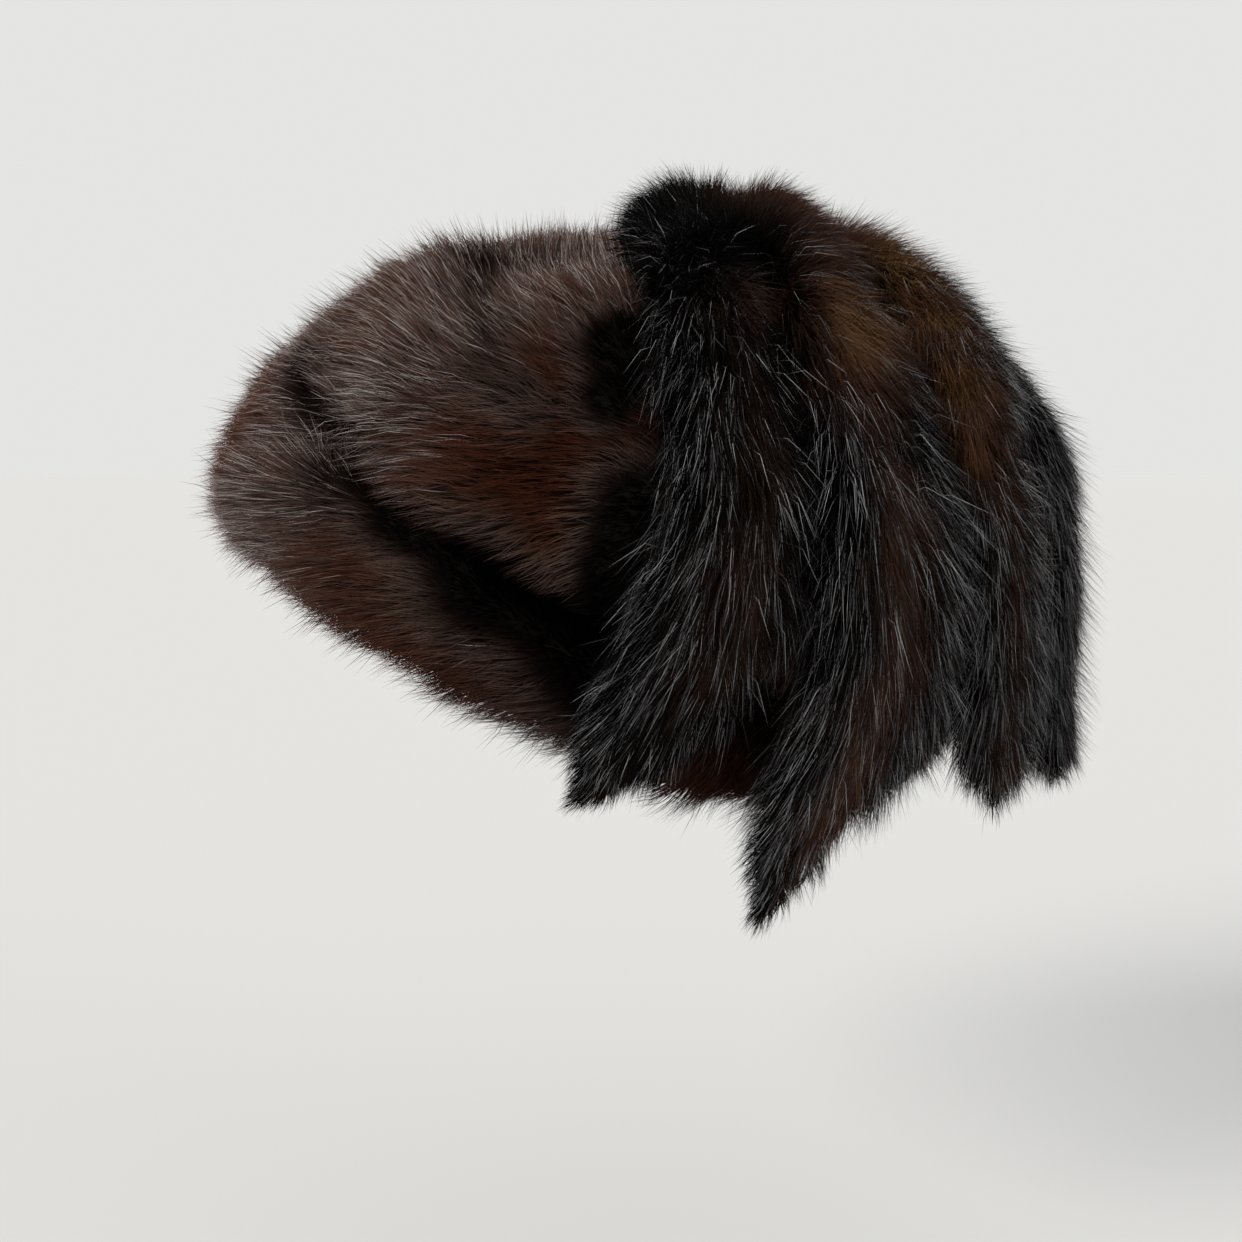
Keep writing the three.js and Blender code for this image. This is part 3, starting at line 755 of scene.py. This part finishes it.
def crown_flow(points, normals):
    """The way that the crown's fur lies at each point."""
    away = unit(points - FUR_SOURCE)
    away[:, 2] *= np.where(away[:, 2] < 0, DOWNWARD, 1)
    over_top = rising(points[:, 2], *TOP_LEAN["above"]) * rising(points[:, 0], *TOP_LEAN["right_of"])
    away += over_top[:, None] * TOP_LEAN["way"]
    behind = round_the_hat(points) - BEHIND["fall"]
    share = rising(points[:, 1], *BEHIND["from"])[:, None]
    return flat_to(away * (1 - share) + behind * share, normals)


def roll_flow(points, normals):
    """The way that the roll's fur lies at each point."""
    flow = round_the_hat(points)
    flow[:, 2] -= ROLL_FALL["front"] + ROLL_FALL["more"] * rising(points[:, 0], *ROLL_FALL["from"])
    return flat_to(flow, normals)


def dress(piece, name, node, materials, groups, rng):
    """Puts a coat of hairs on a pelt, and lets both ride with the hat."""
    coat = new_object(name, hair_mesh(name, groups, rng))
    for material in materials:
        coat.data.materials.append(material)
    for skin in pelt_skins:
        piece.data.materials.append(skin)
    for item in (piece, coat):
        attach(item, "root")
    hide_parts(node)
    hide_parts(node)


def clear_of_tails(points):
    """1 where a place lies clear of the tails, 0 where a tail covers it."""
    share = np.ones(len(points))
    for spine in spines.values():
        station = nearest(spine["middles"], points)
        covered = spine["halves"][station] * TAIL_COVER["share"]
        distance = np.linalg.norm(points - spine["middles"][station], axis=1)
        share = np.minimum(share, rising(distance, covered, covered + TAIL_COVER["fade"]))
    return share


def coat_shell(node, flow, seed):
    """The fur of the crown or the roll."""
    rng = np.random.default_rng(seed)
    pelt = make_pelt(node)

    def wanted(points, normals):
        outside = outer_side(points, normals) > HAIR_ABOVE
        clear = np.maximum(clear_of_tails(points), SHELL_COAT["below_tails"])
        behind = rising(normals[:, 1], *SHELL_COAT["back"])
        return outside * clear * (1 - SHELL_COAT["thinner_back"] * behind)

    groups = []
    for layer in LAYERS[node]:
        roots, normals = sample(pelt.data, layer["count"], rng, wanted)
        turns = SHELL_COAT["wander"] * drift(roots, SHELL_COAT["wander_size"], seed + 1)
        flows = rotate_about(flow(roots, normals), normals, turns)
        creases = crease_share(roots)
        scale = 1 + SHELL_COAT["vary"] * drift(roots, SHELL_COAT["vary_size"], seed + 2)
        lines = hair_lines(roots, normals, flows, layer, scale * (1 - CREASE_CUT * creases), 1, rng)
        pale = np.full(len(roots), layer["pale"])
        # More pale hairs where the painted sheen lies
        for more, near in near_places(roots, PAINTED_SHEENS, "more"):
            pale += layer["pale"] * more * near
        # Painted shade: hair in a crease, or lying across one, is painted darker
        shade = np.maximum(creases, CREASE_SHADE * crease_share(lines[1]))
        tones = tones_at(roots, BASE_TONES[node], HAT_PATCHES, shade, rng, pale, layer["pale_tones"])
        groups.append((lines, normals, tones, layer["width"]))
    dress(pelt, node + "_fur", node, mink, groups, rng)


def valley_shade_share(node, points):
    """How deep each place of a tail lies in the valley to the next tail, for its painted shade: 0 outside,
    1 at the bottom.
    """
    share = np.zeros(len(points))
    for other, spine in spines.items():
        if other != node:
            station = nearest(spine["middles"], points)
            distance = np.linalg.norm(points - spine["middles"][station], axis=1)
            half_widths = distance / spine["halves"][station]
            near = rising(half_widths, VALLEY["reach"], VALLEY["reach"] - VALLEY["fade"])
            past_root = rising(station / len(spine["middles"]), *VALLEY["past_root"])
            share = np.maximum(share, near * past_root)
    return share


def tail_flow(roots, normals, spine, station, off, near_tip, look, rng):
    """The way that a tail's fur lies at each root, and how near each lies to the top of the mound."""
    slant = TAIL_COAT["slant"] + (TAIL_COAT["tip_slant"] - TAIL_COAT["slant"]) * near_tip
    sideways = spine["sides"][station] * (off * slant)[:, None]
    flows = flat_to(spine["directions"][station] + sideways, normals)
    from_mound = roots - MOUND
    distance = np.linalg.norm(from_mound, axis=1)
    root_part = station / (len(spine["middles"]) - 1) < MOUND_SPREAD["root_end"]
    spread = rising(distance, *MOUND_SPREAD["near"])
    spread = np.maximum(spread, rising(roots[:, 1], *MOUND_SPREAD["back"]) * root_part)[:, None]
    flows = flat_to(flows * (1 - spread) + unit(from_mound) * spread, normals)
    mound_top = bell(distance, MOUND_TOP["reach"])
    flows = flat_to(flows + mound_top[:, None] * MOUND_TOP["mess"] * rng.normal(size=flows.shape), normals)
    return flat_to(flows + near_tip[:, None] * look["sweep"], normals), mound_top


def coat_tail(node, pelt, spine, seed):
    """The long fur of a tail: a herringbone that leaves its middle line for both sides."""
    rng = np.random.default_rng(seed)
    last = len(spine["middles"]) - 1
    look = TAIL_LOOKS[node]

    def wanted(points, normals):
        station = nearest(spine["middles"], points)
        end_cap = (normals * spine["directions"][station]).sum(1) < TAIL_COAT["end_cap_below"]
        inner = TAIL_COAT["inner"]
        facing = inner + (1 - inner) * outer_side(points, normals)
        return facing * np.where(end_cap, TAIL_COAT["end_cap"], 1)

    groups = []
    for layer in LAYERS["tail"]:
        roots, normals = sample(pelt.data, layer["count"], rng, wanted)
        station = nearest(spine["middles"], roots)
        halves = spine["halves"][station]
        from_root = station / last
        near_root = rising(from_root, look["root_end"], look["root_end"] - TAIL_COAT["root_fade"])
        near_tip = rising(from_root, TAIL_COAT["tip_start"], 1)
        off = ((roots - spine["middles"][station]) * spine["sides"][station]).sum(1) / (0.5 * halves)
        off -= look["parting"]
        flows, mound_top = tail_flow(roots, normals, spine, station, off, near_tip, look, rng)
        turns = TAIL_COAT["wander"] * drift(roots, TAIL_COAT["wander_size"], seed + 1)
        flows = rotate_about(flows, normals, turns)
        scale = np.clip(halves / TAIL_COAT["full_half_width"], *TAIL_COAT["lengths"]) * look["length"]
        scale *= 1 - (1 - look["root_length"]) * near_root
        scale *= (1 - (1 - look["tip_length"]) * near_tip) * (1 - MOUND_TOP["cut"] * mound_top)
        stray = 1 + TAIL_COAT["root_stray"] * near_root
        lines = hair_lines(roots, normals, flows, layer, scale, stray, rng)
        middle = bell(off, TAIL_MIDDLE["reach"])
        tone = look["sides"] + (look["middle"] - look["sides"]) * middle
        tone += (look["root"] - tone) * near_root
        pale = layer["pale"] * look["pale"] * (1 - (1 - TAIL_MIDDLE["pale"]) * middle)
        pale *= 1 - TAIL_MIDDLE["root_loss"] * near_root
        # Painted shade in the valleys between the tails
        shade = VALLEY["shade"] * valley_shade_share(node, roots)
        tones = tones_at(roots, tone, TAIL_PATCHES, shade, rng, pale, layer["pale_tones"])
        groups.append((lines, normals, tones, layer["width"]))
    dress(pelt, node + "_fur", node, tail_hair, groups, rng)


tail_pelts = {}
spines = {}
for tail in TAILS:
    tail_pelts[tail], spines[tail] = make_tail_pelt(tail)
coat_shell("crown", crown_flow, 3)
coat_shell("brim_roll", roll_flow, 4)
for number, tail in enumerate(TAILS):
    coat_tail(tail, tail_pelts[tail], spines[tail], 20 + number)


def floor_material():
    """Pale matt paint with a faint cloud in it."""
    material = bpy.data.materials.new("floor_paint")
    nodes, links, shader = node_tree(material)
    noise = nodes.new("ShaderNodeTexNoise")
    noise.inputs["Scale"].default_value = 3
    cloud = tuple(FLOOR_CLOUD * part for part in FLOOR_COLOUR)
    colour = ramp(nodes, [(0.3, cloud), (0.7, FLOOR_COLOUR)])
    links.new(noise.outputs["Fac"], colour.inputs["Fac"])
    links.new(colour.outputs["Color"], shader.inputs["Base Color"])
    shader.inputs["Roughness"].default_value = 1
    shader.inputs["Specular IOR Level"].default_value = 0
    return material


def add_floor():
    around = [2 * math.pi * k / FLOOR_CORNERS for k in range(FLOOR_CORNERS)]
    rim = [(FLOOR_REACH * math.cos(turn), FLOOR_REACH * math.sin(turn), FLOOR_Z) for turn in around]
    mesh = bpy.data.meshes.new("floor")
    mesh.from_pydata(rim, [], [tuple(range(len(rim)))])
    floor = new_object("floor", mesh)
    mesh.materials.append(floor_material())


def add_light(name, lamp):
    sun = bpy.data.lights.new(name, "SUN")
    sun.energy = lamp["strength"]
    sun.angle = math.radians(lamp["wide"])
    sun.color = lamp["colour"]
    light = new_object(name, sun)
    light.location = lamp["from"]
    light.rotation_euler = Vector(lamp["from"]).to_track_quat("Z", "Y").to_euler()


def add_world():
    world = bpy.data.worlds.new("studio")
    world.use_nodes = True
    background = world.node_tree.nodes["Background"]
    background.inputs["Color"].default_value = (*BACKGROUND, 1)
    background.inputs["Strength"].default_value = 1
    bpy.context.scene.world = world


def add_camera():
    lens = bpy.data.cameras.new("camera")
    lens.sensor_width = 36
    lens.angle = math.radians(CAMERA["view_angle"])
    camera = new_object("camera", lens)
    camera.location = CAMERA["place"]
    camera.rotation_euler = Euler((math.radians(90 - CAMERA["down"]), 0, 0))
    bpy.context.scene.camera = camera


add_camera()
add_world()
add_floor()
for name, lamp in LAMPS.items():
    add_light(name, lamp)
bpy.context.scene.view_settings.view_transform = "Standard"
